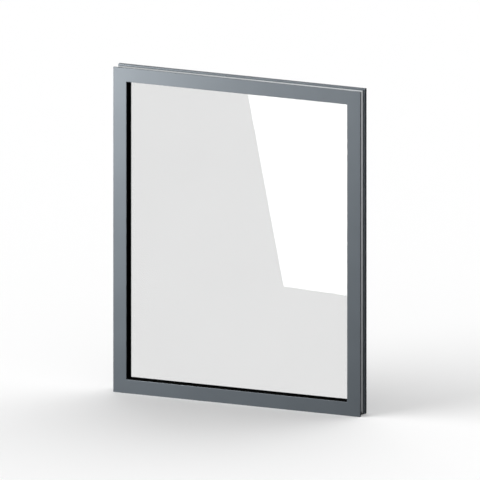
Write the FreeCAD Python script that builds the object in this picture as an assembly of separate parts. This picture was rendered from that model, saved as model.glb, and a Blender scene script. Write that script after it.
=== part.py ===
"""Fixed picture window: a thermally broken aluminium frame round a sealed double-glazed unit.

Every frame member is one section, drawn once in the plane (u, v) and swept along a side of the window.
u is the distance inwards from the outer edge of the frame, and v is the depth behind its outside face.
The window stands on its sill, with the outside face towards -Y, and the origin is under its middle.
"""

import FreeCAD, Part
import math
import os

# Overall size
frame_width = 1000.0
frame_height = 1263.0
frame_depth = 65.0

# Outer frame section, on the weather side
face_width = 53.0
outer_frame_depth = 18.0
edge_rib_depth = 8.0
anchor_groove_depth = 12.0
leg_height = 20.0
leg_lip = 2.5
leg_recess = 1.5
profile_wall = 2.0
face_edge_radius = 0.4
sight_edge_radius = 1.2
back_edge_radius = 0.5
mitre_gap = 0.1

# Inner frame section, on the room side
inner_frame_depth = 17.0
cover_flange = 2.0

# Isolators of the thermal break
isolator_block_depth = 10.0
isolator_inset = 4.0
isolator_web = 5.0
isolator_wall = 1.0
tongue_neck = 2.4
tongue_head = 3.2
tongue_depth = 3.0
tongue_clearance = 0.1
flange_clearance = 0.1

# Sealed double-glazed unit
pane_thickness = 4.0
unit_edge_clearance = 5.5
spacer_height = 7.0
spacer_setback = 1.0
spacer_shoulder = 2.0
spacer_wall = 0.8

# Gaskets
outer_gasket_thickness = 6.0
outer_gasket_height = 9.0
gasket_setback = 0.3
gasket_edge_radius = 1.2
gasket_foot_drop = 6.0
gasket_foot_clearance = 0.1
inner_gasket_thickness = 2.5
inner_gasket_height = 5.6

# Glazing beads
bead_height = 16.4
bead_depth = 10.5
bead_wall = 1.6
bead_edge_radius = 2.5
bead_hook_height = 2.6
bead_hook_width = 2.4
bead_hook_from_back = 5.0
bead_hook_clearance = 0.15
bead_end_gap = 0.2

# Setting blocks under the unit
setting_block_length = 100.0
setting_block_overhang = 1.0
setting_block_from_side = 250.0

# Depths and heights that follow from the sizes above
rebate_floor = face_width - leg_height
isolator_front = outer_frame_depth
isolator_back = frame_depth - inner_frame_depth
block_front = isolator_back - isolator_block_depth
flange_front = block_front + isolator_wall
unit_front = outer_frame_depth + outer_gasket_thickness
cavity_front = unit_front + pane_thickness
bead_front = frame_depth - bead_depth
unit_back = bead_front - inner_gasket_thickness
cavity_back = unit_back - pane_thickness
bead_top = rebate_floor + bead_height
unit_edge = rebate_floor + unit_edge_clearance
spacer_top = face_width - spacer_setback
spacer_foot = spacer_top - spacer_height
outer_tongue_u = anchor_groove_depth + isolator_web / 2
inner_tongue_u = rebate_floor - isolator_web / 2
leg_top = face_width - leg_recess
gasket_top = face_width - gasket_setback
gasket_foot_u = face_width - gasket_foot_drop
bead_hook_back = frame_depth - bead_hook_from_back
mitre_reach = face_width + profile_wall

DEPTH_AXIS = FreeCAD.Vector(0, 1, 0)
LENGTH_AXIS = FreeCAD.Vector(1, 0, 0)


def section_point(u, v):
    """A point of the sill's section: u runs up from the floor and v runs back from the outside face."""
    return FreeCAD.Vector(0, v - frame_depth / 2, u)


def outline(corners):
    """A closed wire through (u, v) or (u, v, radius) corners, with an arc at each corner with a radius."""
    stops = []
    for index, corner in enumerate(corners):
        here = section_point(corner[0], corner[1])
        if len(corner) == 2:
            stops.append((here,))
            continue
        before = corners[index - 1]
        after = corners[(index + 1) % len(corners)]
        to_before = (section_point(before[0], before[1]) - here).normalize()
        to_after = (section_point(after[0], after[1]) - here).normalize()
        half_angle = to_before.getAngle(to_after) / 2
        radius = corner[2]
        setback = radius / math.tan(half_angle)
        bisector = (to_before + to_after).normalize()
        middle = here + bisector * (radius / math.sin(half_angle) - radius)
        stops.append((here + to_before * setback, middle, here + to_after * setback))
    edges = []
    for index, stop in enumerate(stops):
        if len(stop) == 3:
            edges.append(Part.Arc(stop[0], stop[1], stop[2]).toShape())
        following = stops[(index + 1) % len(stops)]
        edges.append(Part.makeLine(stop[-1], following[0]))
    return Part.Wire(edges)


def rectangle(u_low, u_high, v_low, v_high):
    """The four corners of an upright rectangle in the section."""
    return [(u_low, v_low), (u_high, v_low), (u_high, v_high), (u_low, v_high)]


def dovetail(u_centre, v_root, direction, clearance):
    """The corners of a dovetail tongue with growing u, or of its groove when given a clearance."""
    half_neck = tongue_neck / 2 + clearance
    half_head = tongue_head / 2 + clearance
    v_tip = v_root + direction * (tongue_depth + clearance)
    return [
        (u_centre - half_neck, v_root),
        (u_centre - half_head, v_tip),
        (u_centre + half_head, v_tip),
        (u_centre + half_neck, v_root),
    ]


def section(outer, *chambers):
    """The face of a section with its hollow chambers."""
    wires = [outline(outer)] + [outline(chamber) for chamber in chambers]
    return Part.makeFace(wires, "Part::FaceMakerBullseye")


def outer_frame_section():
    """The weather-side profile: a hollow face with a recessed glazing leg and a thin rib at the outer edge."""
    chamber_back = outer_frame_depth - tongue_depth - tongue_clearance - profile_wall
    chamber_step = anchor_groove_depth + profile_wall
    outer = [
        (0, 0, face_edge_radius),
        (face_width, 0, sight_edge_radius),
        (face_width, leg_lip),
        (leg_top, leg_lip),
        (leg_top, outer_frame_depth, back_edge_radius),
    ]
    outer += dovetail(gasket_foot_u, outer_frame_depth, -1, gasket_foot_clearance)[::-1]
    outer += dovetail(inner_tongue_u, outer_frame_depth, -1, tongue_clearance)[::-1]
    outer += dovetail(outer_tongue_u, outer_frame_depth, -1, tongue_clearance)[::-1]
    outer += [
        (anchor_groove_depth, outer_frame_depth),
        (anchor_groove_depth, edge_rib_depth),
        (0, edge_rib_depth, back_edge_radius),
    ]
    face_chamber = [
        (profile_wall, profile_wall),
        (rebate_floor - profile_wall, profile_wall),
        (rebate_floor - profile_wall, chamber_back),
        (chamber_step, chamber_back),
        (chamber_step, edge_rib_depth - profile_wall),
        (profile_wall, edge_rib_depth - profile_wall),
    ]
    leg_chamber = rectangle(
        rebate_floor,
        leg_top - profile_wall,
        profile_wall,
        outer_frame_depth - tongue_depth - gasket_foot_clearance - profile_wall,
    )
    return section(outer, face_chamber, leg_chamber)


def inner_frame_section():
    """The room-side profile: a hollow box with isolator grooves, a groove for the bead's hook and a flange
    that covers the outer isolator's block.
    """
    groove_floor = rebate_floor - bead_hook_height - bead_hook_clearance
    groove_front = bead_hook_back - bead_hook_width - bead_hook_clearance
    groove_back = bead_hook_back + bead_hook_clearance
    outer = [
        (0, isolator_back, back_edge_radius),
        (isolator_inset, isolator_back),
        (isolator_inset, flange_front),
        (isolator_inset + cover_flange, flange_front),
        (isolator_inset + cover_flange, isolator_back),
    ]
    outer += dovetail(outer_tongue_u, isolator_back, 1, tongue_clearance)
    outer += dovetail(inner_tongue_u, isolator_back, 1, tongue_clearance)
    outer += [
        (rebate_floor, isolator_back),
        (rebate_floor, groove_front),
        (groove_floor, groove_front),
        (groove_floor, groove_back),
        (rebate_floor, groove_back),
        (rebate_floor, frame_depth, back_edge_radius),
        (0, frame_depth, face_edge_radius),
    ]
    chamber = rectangle(
        profile_wall,
        groove_floor - profile_wall,
        isolator_back + tongue_depth + tongue_clearance + profile_wall,
        frame_depth - profile_wall,
    )
    return section(outer, chamber)


def outer_isolator_section():
    """The outer bar of the thermal break: a web with a hollow block under the inner frame's flange."""
    web_foot = anchor_groove_depth + isolator_web
    under_flange = isolator_inset + cover_flange + flange_clearance
    outer = [(anchor_groove_depth, isolator_front)]
    outer += dovetail(outer_tongue_u, isolator_front, -1, 0)
    outer += [(web_foot, isolator_front), (web_foot, isolator_back)]
    outer += dovetail(outer_tongue_u, isolator_back, 1, 0)[::-1]
    outer += [
        (under_flange, isolator_back),
        (under_flange, flange_front),
        (isolator_inset, flange_front),
        (isolator_inset, block_front, back_edge_radius),
        (anchor_groove_depth, block_front),
    ]
    chamber = rectangle(
        under_flange + isolator_wall,
        web_foot - isolator_wall,
        flange_front,
        isolator_back - isolator_wall,
    )
    return section(outer, chamber)


def inner_isolator_section():
    """The inner bar of the thermal break, which is the floor of the glazing rebate."""
    web_low = rebate_floor - isolator_web
    outer = [(web_low, isolator_front)]
    outer += dovetail(inner_tongue_u, isolator_front, -1, 0)
    outer += [(rebate_floor, isolator_front), (rebate_floor, isolator_back)]
    outer += dovetail(inner_tongue_u, isolator_back, 1, 0)[::-1]
    outer += [(web_low, isolator_back)]
    return section(outer)


def outer_gasket_section():
    """The rubber that lines the glazing leg and seals it to the outer pane, with a foot in the leg's groove."""
    gasket_low = gasket_top - outer_gasket_height
    outer = [(gasket_low, outer_frame_depth)]
    outer += dovetail(gasket_foot_u, outer_frame_depth, -1, 0)
    outer += [
        (leg_top, outer_frame_depth),
        (leg_top, leg_lip),
        (gasket_top, leg_lip),
        (gasket_top, unit_front, gasket_edge_radius),
        (gasket_low, unit_front, gasket_edge_radius),
    ]
    return section(outer)


def inner_gasket_section():
    """The rubber wedge between the inner pane and the glazing bead."""
    gasket_high = bead_top - gasket_setback
    gasket_low = gasket_high - inner_gasket_height
    return section([
        (gasket_low, unit_back),
        (gasket_high, unit_back),
        (gasket_high, bead_front, gasket_edge_radius),
        (gasket_low, bead_front),
    ])


def spacer_section():
    """The hollow spacer bar between the panes, with its lower shoulders cut away for the sealant."""
    low = spacer_foot
    outer = [
        (low, cavity_front + spacer_shoulder),
        (low + spacer_shoulder, cavity_front),
        (spacer_top, cavity_front),
        (spacer_top, cavity_back),
        (low + spacer_shoulder, cavity_back),
        (low, cavity_back - spacer_shoulder),
    ]
    hollow = rectangle(
        low + spacer_wall,
        spacer_top - spacer_wall,
        cavity_front + spacer_shoulder,
        cavity_back - spacer_shoulder,
    )
    return section(outer, hollow)


def edge_seal_section():
    """The sealant round the edge of the unit, which fills the room under the spacer's shoulders."""
    return section([
        (unit_edge, cavity_front),
        (spacer_foot + spacer_shoulder, cavity_front),
        (spacer_foot, cavity_front + spacer_shoulder),
        (spacer_foot, cavity_back - spacer_shoulder),
        (spacer_foot + spacer_shoulder, cavity_back),
        (unit_edge, cavity_back),
    ])


def bead_section():
    """The hollow glazing bead with the hook that snaps into the inner frame."""
    outer = [
        (rebate_floor, bead_front),
        (bead_top, bead_front, back_edge_radius),
        (bead_top, frame_depth, bead_edge_radius),
        (rebate_floor, frame_depth, back_edge_radius),
        (rebate_floor, bead_hook_back),
        (rebate_floor - bead_hook_height, bead_hook_back),
        (rebate_floor - bead_hook_height, bead_hook_back - bead_hook_width),
        (rebate_floor, bead_hook_back - bead_hook_width),
    ]
    chamber = rectangle(
        rebate_floor + bead_wall,
        bead_top - bead_wall,
        bead_front + bead_wall,
        frame_depth - bead_edge_radius,
    )
    return section(outer, chamber)


def bar(face, length):
    """A section swept to a square-cut bar of this length, centred over the origin."""
    start = face.copy()
    start.translate(LENGTH_AXIS * (-length / 2))
    return start.extrude(LENGTH_AXIS * length)


def mitred_bar(face, length):
    """A section swept along a side of this outer length, with both ends cut at 45 degrees."""
    half = length / 2 - mitre_gap / 2 * math.sqrt(2)
    corners = [
        FreeCAD.Vector(-half, -frame_depth, 0),
        FreeCAD.Vector(half, -frame_depth, 0),
        FreeCAD.Vector(half - mitre_reach, -frame_depth, mitre_reach),
        FreeCAD.Vector(mitre_reach - half, -frame_depth, mitre_reach),
    ]
    trapezium = Part.Face(Part.makePolygon(corners + corners[:1]))
    return bar(face, length).common(trapezium.extrude(DEPTH_AXIS * (2 * frame_depth)))


def on_side(side, shape):
    """Turns a bar that lies on the sill to its own side of the window."""
    placed = shape.copy()
    if side == "head":
        placed.rotate(FreeCAD.Vector(0, 0, frame_height / 2), DEPTH_AXIS, 180)
    elif side == "left":
        placed.rotate(FreeCAD.Vector(), DEPTH_AXIS, 90)
        placed.translate(FreeCAD.Vector(-frame_width / 2, 0, frame_height / 2))
    elif side == "right":
        placed.rotate(FreeCAD.Vector(), DEPTH_AXIS, -90)
        placed.translate(FreeCAD.Vector(frame_width / 2, 0, frame_height / 2))
    return placed


def side_length(side):
    """The outer length of a side of the window."""
    return frame_height if side in ("left", "right") else frame_width


def glazing_bead(side):
    """Head and sill beads run between the jambs, and the jamb beads stand between those two."""
    taken = bead_top if side in ("left", "right") else rebate_floor
    return bar(bead_section(), side_length(side) - 2 * taken - 2 * bead_end_gap)


def pane(v_front):
    """One sheet of glass of the sealed unit, with its front at this depth."""
    corner = FreeCAD.Vector(unit_edge - frame_width / 2, v_front - frame_depth / 2, unit_edge)
    width = frame_width - 2 * unit_edge
    height = frame_height - 2 * unit_edge
    return Part.makeBox(width, pane_thickness, height, corner)


def setting_block(direction):
    """A block on the sill's rebate floor that carries the unit, towards one side of the window."""
    middle = direction * (frame_width / 2 - setting_block_from_side)
    depth = unit_back - unit_front + 2 * setting_block_overhang
    front = unit_front - setting_block_overhang - frame_depth / 2
    corner = FreeCAD.Vector(middle - setting_block_length / 2, front, rebate_floor)
    return Part.makeBox(setting_block_length, depth, unit_edge_clearance, corner)


def window_pieces():
    """Every piece of the window by its name."""
    mitred = {
        "outer_frame": outer_frame_section(),
        "inner_frame": inner_frame_section(),
        "outer_isolator": outer_isolator_section(),
        "inner_isolator": inner_isolator_section(),
        "outer_gasket": outer_gasket_section(),
        "inner_gasket": inner_gasket_section(),
        "spacer_bar": spacer_section(),
        "edge_seal": edge_seal_section(),
    }
    pieces = {}
    for side in ("head", "sill", "left", "right"):
        for name, face in mitred.items():
            pieces[f"{name}_{side}"] = on_side(side, mitred_bar(face, side_length(side)))
        pieces[f"glazing_bead_{side}"] = on_side(side, glazing_bead(side))
    pieces["outer_pane"] = pane(unit_front)
    pieces["inner_pane"] = pane(cavity_back)
    pieces["setting_block_left"] = setting_block(-1)
    pieces["setting_block_right"] = setting_block(1)
    return pieces


os.makedirs("parts", exist_ok=True)
for name, shape in window_pieces().items():
    shape.exportStep(f"parts/{name}.step")
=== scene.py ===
"""A fixed picture window of coated aluminium with a double-glazed unit, standing on a pale studio floor."""
import math

import bpy
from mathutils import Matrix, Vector


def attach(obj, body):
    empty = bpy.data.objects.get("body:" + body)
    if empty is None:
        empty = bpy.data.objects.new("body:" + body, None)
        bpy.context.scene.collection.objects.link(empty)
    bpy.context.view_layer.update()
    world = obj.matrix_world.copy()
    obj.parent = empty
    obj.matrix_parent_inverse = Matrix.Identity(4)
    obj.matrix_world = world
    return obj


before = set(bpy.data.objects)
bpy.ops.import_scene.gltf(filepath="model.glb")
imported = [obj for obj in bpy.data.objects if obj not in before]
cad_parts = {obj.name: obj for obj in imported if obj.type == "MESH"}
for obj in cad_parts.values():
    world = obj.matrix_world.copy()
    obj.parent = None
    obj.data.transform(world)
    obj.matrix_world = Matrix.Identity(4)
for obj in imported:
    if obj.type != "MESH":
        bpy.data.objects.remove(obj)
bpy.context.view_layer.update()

# Sizes of the window that the details need, in metres
WINDOW_WIDTH = 1.0
WINDOW_HEIGHT = 1.263
MILLIMETRE = 0.001
SPACER_SIGHT_LINE = 52 * MILLIMETRE
SPACER_MIDDLE_Y = 5.5 * MILLIMETRE

# Perforations along the spacer bar's sight face, drawn as flat discs of painted shade
PERFORATION_PITCH = 5 * MILLIMETRE
PERFORATION_RADIUS = 0.55 * MILLIMETRE
PERFORATION_CORNERS = 10
PERFORATION_ROW_OFFSET = 2.6 * MILLIMETRE
PERFORATION_LIFT = 0.06 * MILLIMETRE
PERFORATION_END_MARGIN = 70 * MILLIMETRE

# Surface textures: depth, noise values between which a colour changes, and spread of a grain's roughness
PEEL_DEPTH = 0.08 * MILLIMETRE
GRAIN_DEPTH = 0.1 * MILLIMETRE
TONE_LOW = 0.3
TONE_HIGH = 0.7
ROUGHNESS_SPREAD = 0.08

# Clear glass, and the share of a lamp's light that passes each of its surfaces
GLASS_IOR = 1.5
GLASS_SHADOW = (0.15, 0.15, 0.15, 1.0)

# Studio floor, as the camera sees it and as everything else does
FLOOR_REACH = 30.0
FLOOR_PALE = (0.9, 0.9, 0.9, 1.0)
FLOOR_DARK = (0.02, 0.02, 0.02, 1.0)

# Card in front of the window, which the panes mirror
CARD_GLOW = 8.0
CARD_Y = -1.5
CARD_TOP = 1.2
CARD_RIGHT_X = 0.40
CARD_CORNERS = [
    (-0.4195, CARD_Y, 0.0462),
    (CARD_RIGHT_X, CARD_Y, 0.0145),
    (CARD_RIGHT_X, CARD_Y, CARD_TOP),
    (-0.6468, CARD_Y, CARD_TOP),
]

# World: its plain level, and the sheen that comes from the left and ends towards the right
WORLD_WHITE = (1.0, 1.0, 1.0, 1.0)
WORLD_LEVEL = 0.042
WORLD_SHEEN = 0.56
WORLD_LEFT_X = -0.4
WORLD_RIGHT_X = 0.1

# Half a bounce, which tells no bounce from one or more
HALF_BOUNCE = 0.5

# Camera, a parallel view from the outside, a little to the right and above
VIEW_AZIMUTH = 21.9
VIEW_ELEVATION = 14.8
VIEW_WIDTH = 1.8037
VIEW_DISTANCE = 6.0
VIEW_TARGET = Vector((0.0004, 0.0, 0.6315))


# Node helpers

def empty_tree(owner):
    """The node tree of a material or world, emptied."""
    owner.use_nodes = True
    owner.node_tree.nodes.clear()
    return owner.node_tree


def calculate(tree, operation, first, second):
    """The result of one sum, whose second value may be a number or another node's output."""
    node = tree.nodes.new("ShaderNodeMath")
    node.operation = operation
    tree.links.new(first, node.inputs[0])
    if isinstance(second, float):
        node.inputs[1].default_value = second
    else:
        tree.links.new(second, node.inputs[1])
    return node.outputs["Value"]


def mix_shaders(tree, factor, without, with_it):
    """One shader where the factor is 0 and the other where it is 1."""
    mix = tree.nodes.new("ShaderNodeMixShader")
    tree.links.new(factor, mix.inputs["Fac"])
    tree.links.new(without, mix.inputs[1])
    tree.links.new(with_it, mix.inputs[2])
    return mix.outputs["Shader"]


def diffuse(tree, colour):
    """A plain matt shader of one colour."""
    shader = tree.nodes.new("ShaderNodeBsdfDiffuse")
    shader.inputs["Color"].default_value = colour
    return shader.outputs["BSDF"]


def put_out(tree, surface, kind="ShaderNodeOutputMaterial"):
    """Makes a shader the surface of the tree's material or world."""
    output = tree.nodes.new(kind)
    tree.links.new(surface, output.inputs["Surface"])


# Materials

def new_material(name):
    """A material with one principled shader, its tree and that shader."""
    material = bpy.data.materials.new(name)
    tree = empty_tree(material)
    shader = tree.nodes.new("ShaderNodeBsdfPrincipled")
    return material, tree, shader


def noise(tree, scale, detail, roughness=0.5):
    """A noise value from 0 to 1 with that many features to a metre of the object's own coordinates."""
    coordinates = tree.nodes.new("ShaderNodeTexCoord")
    texture = tree.nodes.new("ShaderNodeTexNoise")
    texture.inputs["Scale"].default_value = scale
    texture.inputs["Detail"].default_value = detail
    texture.inputs["Roughness"].default_value = roughness
    tree.links.new(coordinates.outputs["Object"], texture.inputs["Vector"])
    return texture.outputs["Fac"]


def tone(tree, shader, factor, dark, light):
    """Colours the shader from dark to light over the middle of the factor's range."""
    ramp = tree.nodes.new("ShaderNodeValToRGB")
    first, last = ramp.color_ramp.elements
    first.position = TONE_LOW
    first.color = (*dark, 1.0)
    last.position = TONE_HIGH
    last.color = (*light, 1.0)
    tree.links.new(factor, ramp.inputs["Fac"])
    tree.links.new(ramp.outputs["Color"], shader.inputs["Base Color"])


def roughen(tree, shader, factor, low, high):
    """Spreads the shader's roughness over a range as the factor rises."""
    spread = tree.nodes.new("ShaderNodeMapRange")
    spread.inputs["To Min"].default_value = low
    spread.inputs["To Max"].default_value = high
    tree.links.new(factor, spread.inputs["Value"])
    tree.links.new(spread.outputs["Result"], shader.inputs["Roughness"])


def add_bump(tree, shader, height, strength, depth):
    """Lets a height value, in parts of a depth in metres, roughen the surface."""
    bump = tree.nodes.new("ShaderNodeBump")
    bump.inputs["Strength"].default_value = strength
    bump.inputs["Distance"].default_value = depth
    tree.links.new(height, bump.inputs["Height"])
    tree.links.new(bump.outputs["Normal"], shader.inputs["Normal"])


def powder_coat():
    """Slate-grey powder coat: an even satin skin with a fine orange-peel texture."""
    material, tree, shader = new_material("slate_powder_coat")
    cloud = noise(tree, scale=9.0, detail=2.0)
    tone(tree, shader, cloud, dark=(0.105, 0.124, 0.141), light=(0.114, 0.134, 0.152))
    peel = noise(tree, scale=900.0, detail=2.0, roughness=0.6)
    roughen(tree, shader, peel, low=0.48, high=0.58)
    add_bump(tree, shader, peel, strength=0.12, depth=PEEL_DEPTH)
    shader.inputs["Specular IOR Level"].default_value = 1.0
    put_out(tree, shader.outputs["BSDF"])
    return material


def isolator_plastic():
    """Pale glass-filled plastic with a fine fibrous grain."""
    material, tree, shader = new_material("pale_isolator_plastic")
    grain = noise(tree, scale=260.0, detail=4.0)
    tone(tree, shader, grain, dark=(0.54, 0.56, 0.57), light=(0.62, 0.64, 0.65))
    roughen(tree, shader, grain, low=0.55, high=0.75)
    add_bump(tree, shader, grain, strength=0.2, depth=GRAIN_DEPTH)
    shader.inputs["Specular IOR Level"].default_value = 0.3
    put_out(tree, shader.outputs["BSDF"])
    return material


def dark_moulding(name, dark, light, roughness, grain_scale, bump_strength, specular):
    """A dark rubber, sealant or plastic with a fine grain, dead matt where it has no specular part."""
    material, tree, shader = new_material(name)
    grain = noise(tree, grain_scale, detail=4.0, roughness=0.6)
    tone(tree, shader, grain, dark, light)
    roughen(tree, shader, grain, low=roughness - ROUGHNESS_SPREAD, high=roughness + ROUGHNESS_SPREAD)
    add_bump(tree, shader, grain, bump_strength, GRAIN_DEPTH)
    shader.inputs["Specular IOR Level"].default_value = specular
    put_out(tree, shader.outputs["BSDF"])
    return material


def clear_glass():
    """Float glass with the faintest unevenness of tint, through which lamps shine softened."""
    material, tree, shader = new_material("clear_float_glass")
    drift = noise(tree, scale=3.0, detail=1.0)
    tone(tree, shader, drift, dark=(0.947, 0.948, 0.948), light=(0.953, 0.954, 0.954))
    shader.inputs["Roughness"].default_value = 0.0
    shader.inputs["IOR"].default_value = GLASS_IOR
    shader.inputs["Transmission Weight"].default_value = 1.0
    path = tree.nodes.new("ShaderNodeLightPath")
    veil = tree.nodes.new("ShaderNodeBsdfTransparent")
    veil.inputs["Color"].default_value = GLASS_SHADOW
    surface = mix_shaders(
        tree, path.outputs["Is Shadow Ray"], shader.outputs["BSDF"], veil.outputs["BSDF"],
    )
    put_out(tree, surface)
    return material


coat = powder_coat()
isolator = isolator_plastic()
polyamide = dark_moulding(
    "black_polyamide", (0.018, 0.019, 0.020), (0.030, 0.031, 0.033),
    roughness=0.55, grain_scale=420.0, bump_strength=0.2, specular=0.1,
)
rubber = dark_moulding(
    "black_gasket_rubber", (0.003, 0.003, 0.003), (0.006, 0.006, 0.006),
    roughness=0.8, grain_scale=700.0, bump_strength=0.2, specular=0.0,
)
spacer_skin = dark_moulding(
    "black_spacer_skin", (0.003, 0.003, 0.003), (0.006, 0.006, 0.006),
    roughness=0.7, grain_scale=500.0, bump_strength=0.15, specular=0.0,
)
sealant = dark_moulding(
    "black_edge_sealant", (0.003, 0.003, 0.003), (0.007, 0.007, 0.007),
    roughness=0.75, grain_scale=300.0, bump_strength=0.4, specular=0.0,
)
block_plastic = dark_moulding(
    "setting_block_plastic", (0.035, 0.045, 0.060), (0.050, 0.062, 0.080),
    roughness=0.5, grain_scale=350.0, bump_strength=0.2, specular=0.1,
)
# Painted shade: near-black colour for flat discs that stand in for the spacer's punched holes, not a
# moulding
hole_painted_shade = dark_moulding(
    "spacer_perforation_painted_shade", (0.002, 0.002, 0.002), (0.004, 0.004, 0.004),
    roughness=0.9, grain_scale=900.0, bump_strength=0.1, specular=0.1,
)
glass = clear_glass()

FINISHES = {
    "outer_frame": coat,
    "inner_frame": coat,
    "glazing_bead": coat,
    "outer_isolator": isolator,
    "inner_isolator": polyamide,
    "outer_gasket": rubber,
    "inner_gasket": rubber,
    "spacer_bar": spacer_skin,
    "edge_seal": sealant,
    "setting_block": block_plastic,
    "outer_pane": glass,
    "inner_pane": glass,
}


def finish_of(node_name):
    """The finish of a CAD node, by the kind of piece that its name starts with."""
    kind = next(kind for kind in FINISHES if node_name.startswith(kind))
    return FINISHES[kind]


for node_name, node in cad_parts.items():
    for slot in node.material_slots:
        slot.material = finish_of(node_name)


# Perforations of the spacer bar, as flat discs of painted shade

def perforation_tree():
    """Geometry nodes that set two rows of flat discs along a line, coloured with the painted shade of
    punched holes.
    """
    tree = bpy.data.node_groups.new("spacer_perforations", "GeometryNodeTree")
    inputs = {
        "Geometry": "NodeSocketGeometry",
        "Start": "NodeSocketVector",
        "Step": "NodeSocketVector",
        "Row offset": "NodeSocketVector",
        "Count": "NodeSocketInt",
        "Facing": "NodeSocketRotation",
    }
    for name, kind in inputs.items():
        tree.interface.new_socket(name, in_out="INPUT", socket_type=kind)
    tree.interface.new_socket("Geometry", in_out="OUTPUT", socket_type="NodeSocketGeometry")
    given = tree.nodes.new("NodeGroupInput")
    made = tree.nodes.new("NodeGroupOutput")
    rows = tree.nodes.new("GeometryNodeJoinGeometry")
    for sign in (1.0, -1.0):
        shift = tree.nodes.new("ShaderNodeVectorMath")
        shift.operation = "MULTIPLY_ADD"
        shift.inputs[1].default_value = (sign, sign, sign)
        tree.links.new(given.outputs["Row offset"], shift.inputs[0])
        tree.links.new(given.outputs["Start"], shift.inputs[2])
        line = tree.nodes.new("GeometryNodeMeshLine")
        tree.links.new(given.outputs["Count"], line.inputs["Count"])
        tree.links.new(shift.outputs["Vector"], line.inputs["Start Location"])
        tree.links.new(given.outputs["Step"], line.inputs["Offset"])
        tree.links.new(line.outputs["Mesh"], rows.inputs["Geometry"])
    hole = tree.nodes.new("GeometryNodeMeshCircle")
    hole.fill_type = "NGON"
    hole.inputs["Vertices"].default_value = PERFORATION_CORNERS
    hole.inputs["Radius"].default_value = PERFORATION_RADIUS
    place = tree.nodes.new("GeometryNodeInstanceOnPoints")
    tree.links.new(rows.outputs["Geometry"], place.inputs["Points"])
    tree.links.new(hole.outputs["Mesh"], place.inputs["Instance"])
    tree.links.new(given.outputs["Facing"], place.inputs["Rotation"])
    real = tree.nodes.new("GeometryNodeRealizeInstances")
    tree.links.new(place.outputs["Instances"], real.inputs["Geometry"])
    # The discs get the painted shade of a hole's inside
    paint = tree.nodes.new("GeometryNodeSetMaterial")
    paint.inputs["Material"].default_value = hole_painted_shade
    tree.links.new(real.outputs["Geometry"], paint.inputs["Geometry"])
    tree.links.new(paint.outputs["Geometry"], made.inputs["Geometry"])
    return tree


def perforated_side(tree, side, start, step, facing, length):
    """The two rows of holes along one spacer bar, flat discs of painted shade, as a plain mesh that rides
    on the window.
    """
    shell = bpy.data.objects.new("perforation_source", bpy.data.meshes.new("perforation_source"))
    bpy.context.scene.collection.objects.link(shell)
    rows = shell.modifiers.new("rows", "NODES")
    rows.node_group = tree
    settings = {
        "Start": start,
        "Step": step,
        "Row offset": (0.0, PERFORATION_ROW_OFFSET, 0.0),
        "Count": int((length - 2 * PERFORATION_END_MARGIN) / PERFORATION_PITCH) + 1,
        "Facing": facing,
    }
    for item in tree.interface.items_tree:
        if item.name in settings:
            rows[item.identifier] = settings[item.name]
    graph = bpy.context.evaluated_depsgraph_get()
    mesh = bpy.data.meshes.new_from_object(shell.evaluated_get(graph))
    bpy.data.objects.remove(shell)
    holes = bpy.data.objects.new("spacer_perforations_" + side, mesh)
    mesh.name = holes.name
    bpy.context.scene.collection.objects.link(holes)
    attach(holes, "root")
    return holes


quarter = math.pi / 2
sight = SPACER_SIGHT_LINE + PERFORATION_LIFT
margin = PERFORATION_END_MARGIN
left_x = -WINDOW_WIDTH / 2
across = (PERFORATION_PITCH, 0.0, 0.0)
upward = (0.0, 0.0, PERFORATION_PITCH)
perforations = perforation_tree()
hole_rows = [
    perforated_side(
        perforations, "sill", (left_x + margin, SPACER_MIDDLE_Y, sight),
        across, (0.0, 0.0, 0.0), WINDOW_WIDTH,
    ),
    perforated_side(
        perforations, "head", (left_x + margin, SPACER_MIDDLE_Y, WINDOW_HEIGHT - sight),
        across, (math.pi, 0.0, 0.0), WINDOW_WIDTH,
    ),
    perforated_side(
        perforations, "left", (left_x + sight, SPACER_MIDDLE_Y, margin),
        upward, (0.0, quarter, 0.0), WINDOW_HEIGHT,
    ),
    perforated_side(
        perforations, "right", (-left_x - sight, SPACER_MIDDLE_Y, margin),
        upward, (0.0, -quarter, 0.0), WINDOW_HEIGHT,
    ),
]


# Studio

def stage_mesh(name, corners, material):
    """A flat sheet through the corners, which isn't part of the window."""
    mesh = bpy.data.meshes.new(name)
    mesh.from_pydata(corners, [], [tuple(range(len(corners)))])
    mesh.materials.append(material)
    sheet = bpy.data.objects.new(name, mesh)
    bpy.context.scene.collection.objects.link(sheet)
    return sheet


def straight_through(tree):
    """1 for a ray that came through clear glass without meeting a rough surface, and otherwise 0."""
    path = tree.nodes.new("ShaderNodeLightPath")
    bounces = calculate(tree, "ADD", path.outputs["Diffuse Depth"], path.outputs["Glossy Depth"])
    clean = calculate(tree, "LESS_THAN", bounces, HALF_BOUNCE)
    return calculate(tree, "MULTIPLY", path.outputs["Is Transmission Ray"], clean)


def floor_paint():
    """A floor that is pale to the camera, white through the glass and dark in the coat's sheen."""
    material = bpy.data.materials.new("pale_studio_floor")
    tree = empty_tree(material)
    path = tree.nodes.new("ShaderNodeLightPath")
    white = tree.nodes.new("ShaderNodeEmission")
    seen = mix_shaders(
        tree, path.outputs["Is Camera Ray"], diffuse(tree, FLOOR_DARK), diffuse(tree, FLOOR_PALE),
    )
    put_out(tree, mix_shaders(tree, straight_through(tree), seen, white.outputs["Emission"]))
    return material


def card_paint():
    """A bright card that only a mirror-like surface shows."""
    material = bpy.data.materials.new("reflected_card")
    tree = empty_tree(material)
    material.cycles.emission_sampling = "NONE"
    path = tree.nodes.new("ShaderNodeLightPath")
    glow = tree.nodes.new("ShaderNodeEmission")
    strength = calculate(tree, "MULTIPLY", path.outputs["Is Singular Ray"], CARD_GLOW)
    tree.links.new(strength, glow.inputs["Strength"])
    put_out(tree, glow.outputs["Emission"])
    return material


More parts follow.
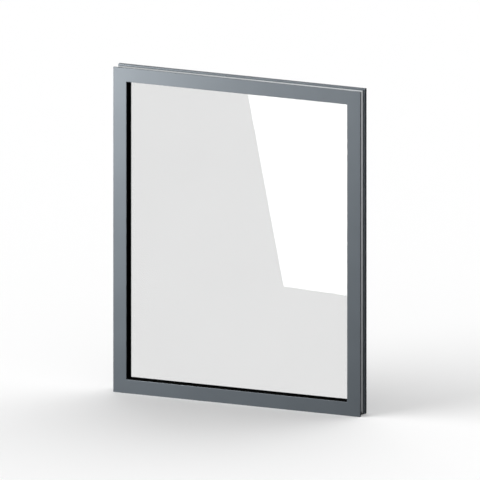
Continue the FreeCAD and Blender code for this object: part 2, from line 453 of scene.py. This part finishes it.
def sheen_from_left(tree):
    """A level that fades from the left to the right, only for the sheen that the camera sees."""
    path = tree.nodes.new("ShaderNodeLightPath")
    direct = calculate(tree, "LESS_THAN", path.outputs["Diffuse Depth"], HALF_BOUNCE)
    glossy = calculate(tree, "MULTIPLY", path.outputs["Is Glossy Ray"], direct)
    direction = tree.nodes.new("ShaderNodeTexCoord")
    parts = tree.nodes.new("ShaderNodeSeparateXYZ")
    tree.links.new(direction.outputs["Generated"], parts.inputs["Vector"])
    side = tree.nodes.new("ShaderNodeMapRange")
    side.inputs["From Min"].default_value = WORLD_LEFT_X
    side.inputs["From Max"].default_value = WORLD_RIGHT_X
    side.inputs["To Min"].default_value = WORLD_SHEEN
    side.inputs["To Max"].default_value = WORLD_LEVEL
    tree.links.new(parts.outputs["X"], side.inputs["Value"])
    return calculate(tree, "MULTIPLY", side.outputs["Result"], glossy)


def white_world():
    """White to the camera, also through the glass, with a sheen from the left and hardly any light."""
    world = bpy.data.worlds.new("white_studio")
    tree = empty_tree(world)
    path = tree.nodes.new("ShaderNodeLightPath")
    level = calculate(tree, "MAXIMUM", path.outputs["Is Camera Ray"], WORLD_LEVEL)
    level = calculate(tree, "MAXIMUM", level, straight_through(tree))
    level = calculate(tree, "MAXIMUM", level, sheen_from_left(tree))
    sky = tree.nodes.new("ShaderNodeBackground")
    sky.inputs["Color"].default_value = WORLD_WHITE
    tree.links.new(level, sky.inputs["Strength"])
    put_out(tree, sky.outputs["Background"], "ShaderNodeOutputWorld")
    bpy.context.scene.world = world


def lamp_at(name, kind, place, energy, receivers, sheen):
    """A lamp that shines from its place towards the window's middle, and lights only its receivers."""
    light = bpy.data.lights.new(name, kind)
    light.energy = energy
    lamp = bpy.data.objects.new(name, light)
    lamp.location = place
    lamp.rotation_mode = "QUATERNION"
    lamp.rotation_quaternion = (Vector(place) - VIEW_TARGET).to_track_quat("Z", "Y")
    lamp.visible_camera = False
    lamp.visible_transmission = False
    lamp.visible_glossy = sheen
    lamp.light_linking.receiver_collection = receivers
    bpy.context.scene.collection.objects.link(lamp)
    return light


def area_lamp(name, place, size, energy, receivers, sheen=True):
    """A square lamp with its side in metres and its power in watts."""
    lamp_at(name, "AREA", place, energy, receivers, sheen).size = size


def sun_lamp(name, place, degrees, energy, receivers, sheen=True):
    """A lamp without falloff that fills that many degrees of the sky."""
    lamp_at(name, "SUN", place, energy, receivers, sheen).angle = math.radians(degrees)


def light_group(name, members):
    """The pieces that a lamp lights."""
    group = bpy.data.collections.new(name)
    for member in members:
        group.objects.link(member)
    return group


white_world()
floor = stage_mesh(
    "studio_floor",
    [
        (-FLOOR_REACH, -FLOOR_REACH, 0), (FLOOR_REACH, -FLOOR_REACH, 0),
        (FLOOR_REACH, FLOOR_REACH, 0), (-FLOOR_REACH, FLOOR_REACH, 0),
    ],
    floor_paint(),
)
card = stage_mesh("reflected_card", CARD_CORNERS, card_paint())
card.visible_camera = False
card.visible_diffuse = False
card.visible_transmission = False
card.visible_shadow = False

# Lamps leave out the panes, which would mirror them.
# The pale bars of the head and the jambs have lamps of their own.
opaque = {name: node for name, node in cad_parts.items() if not name.endswith("_pane")}
front_pieces = [node for name, node in opaque.items() if not name.startswith("outer_isolator")]
window_group = light_group("lit_window", [*opaque.values(), *hole_rows])
front_group = light_group("lit_from_front", [*front_pieces, *hole_rows])
floor_group = light_group("lit_floor", [floor])

KEY_PLACE = (-1.68, -1.23, 1.48)
FILL_PLACE = (0.95, -2.65, 3.40)
RIGHT_BAR_PLACE = (1.3, -1.5, 1.45)
BAR_LAMP_SIZE = 0.4

area_lamp("key_light", KEY_PLACE, size=0.5, energy=74.0, receivers=front_group)
area_lamp("fill_light", FILL_PLACE, size=0.8, energy=97.5, receivers=front_group)
for side, place, energy in (
    ("head", FILL_PLACE, 116.0),
    ("left", KEY_PLACE, 38.0),
    ("right", RIGHT_BAR_PLACE, 14.7),
):
    bar_group = light_group("lit_edge_" + side, [opaque["outer_isolator_" + side]])
    area_lamp(side + "_edge_light", place, BAR_LAMP_SIZE, energy, bar_group)
sun_lamp("rim_light", (0.6, 3.6, 2.4), degrees=20, energy=0.9, receivers=window_group)
area_lamp("back_light", (-0.3, 3.0, 0.7), size=1.0, energy=75.0, receivers=window_group, sheen=False)
sun_lamp("dome_light", (-1.5, 1.0, 2.5), degrees=150, energy=0.3, receivers=window_group, sheen=False)

# The floor's own lamps cast the soft shadows on it
for side, place, degrees, energy in (
    ("left", (-2.868, -1.84, 2.7245), 50, 1.894),
    ("back", (0.3, 3.0, 2.4), 90, 1.088),
    ("right", (2.2, 2.2, 3.1), 60, 0.432),
    ("overhead", (0.0, 0.0, 4.0), 175, 1.538),
):
    sun_lamp(side + "_floor_light", place, degrees, energy, floor_group)


# Camera

turn = math.radians(VIEW_AZIMUTH)
rise = math.radians(VIEW_ELEVATION)
level_part = math.cos(rise)
towards_camera = Vector((math.sin(turn) * level_part, -math.cos(turn) * level_part, math.sin(rise)))
camera = bpy.data.objects.new("camera", bpy.data.cameras.new("camera"))
camera.data.type = "ORTHO"
camera.data.ortho_scale = VIEW_WIDTH
camera.location = VIEW_TARGET + towards_camera * VIEW_DISTANCE
camera.rotation_mode = "QUATERNION"
camera.rotation_quaternion = towards_camera.to_track_quat("Z", "Y")
bpy.context.scene.collection.objects.link(camera)
bpy.context.scene.camera = camera
bpy.context.scene.view_settings.view_transform = "Standard"
